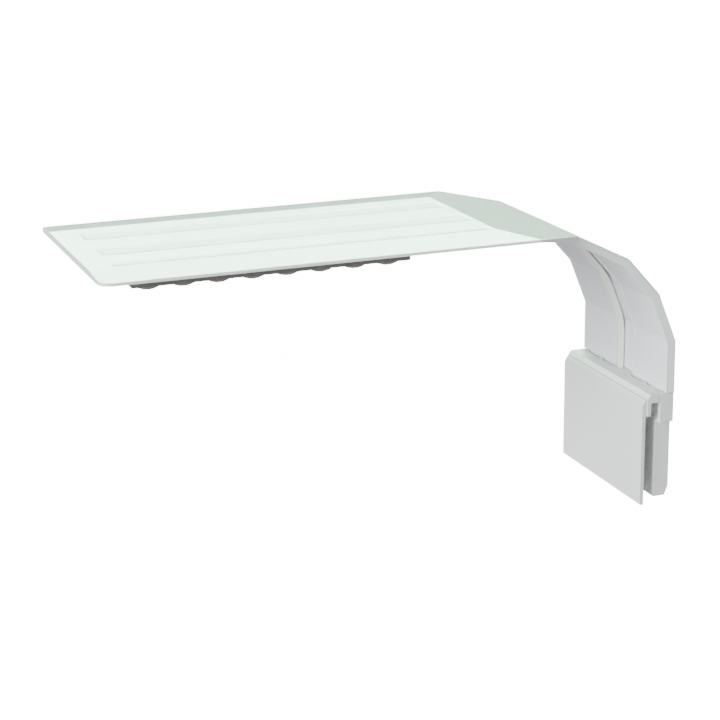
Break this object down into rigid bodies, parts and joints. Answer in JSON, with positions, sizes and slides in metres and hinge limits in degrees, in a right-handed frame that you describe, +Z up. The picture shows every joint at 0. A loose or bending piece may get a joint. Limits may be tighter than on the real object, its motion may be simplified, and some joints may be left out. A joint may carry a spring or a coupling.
{
  "type": "led aquarium light",
  "caption": "Slim clip-on aquarium light: a flat LED head on a wide folded arm, held on the tank's glass rim by a saddle clamp with a rear thumbscrew.",
  "frame": {"origin": "middle of the saddle's seat that rests on the rim of the tank's glass", "axes": "+Z up, -X out over the water along the head, +X outside the tank, Y across the lamp"},
  "size_m": [0.3096, 0.126, 0.153],
  "materials": {
    "white_shell": "fine satin moulded finish, faint green-grey cast",
    "arm_white": "satin moulded finish",
    "clamp_white": "fine matt moulded finish, slightly greyer than the head",
    "clear_lens": "clear moulded plastic, polished",
    "silicone": "matt soft silicone",
    "aluminium": "rolled sheet",
    "board_white": "white solder mask",
    "steel": "bright plated",
    "brass": "turned",
    "cable_cream": "cream flexible sheath",
    "black_plastic": "moulded"
  },
  "bodies": {
    "lamp": {"upper_shell": "white_shell", "head_bottom_cover": "white_shell", "arm_inner_cover": "arm_white", "lens_cover": "clear_lens", "lens_gasket": "silicone", "heat_spreader": "aluminium", "led_board": "board_white", "board_screw_1": "steel", "board_screw_2": "steel", "board_screw_3": "steel", "board_screw_4": "steel", "board_connector": "board_white", "head_lead": "cable_cream", "cable_gland": "arm_white", "arm_cable": "cable_cream", "front_plate": "clamp_white", "front_jaw_pad": "silicone", "saddle": "clamp_white", "saddle_screw_1": "steel", "saddle_screw_2": "steel", "rear_housing": "clamp_white", "rear_cover": "clamp_white", "rear_cover_screw_1": "steel", "rear_cover_screw_2": "steel", "rear_cover_screw_3": "steel", "rear_cover_screw_4": "steel", "power_socket": "black_plastic", "socket_pin": "brass", "junction_board": "board_white", "threaded_insert": "brass"},
    "foot": {"pressure_plate": "clamp_white", "pressure_face": "silicone"},
    "thumbscrew": {"thumbscrew_stud": "steel", "thumbscrew_knob": "clamp_white"}
  },
  "joints": [
    {"name": "foot_slide", "type": "slide", "parent": "lamp", "child": "foot", "axis": [-1, 0, 0], "range_m": [0, 0.004]},
    {"name": "thumbscrew_turn", "type": "hinge", "parent": "foot", "child": "thumbscrew", "pos_m": [0.0104, 0, -0.029], "axis": [-1, 0, 0], "range_deg": [0, 721]}
  ],
  "couplings": [
    {"joint": "thumbscrew_turn", "follows": "foot_slide", "rad_per_m": 3141.6}
  ]
}
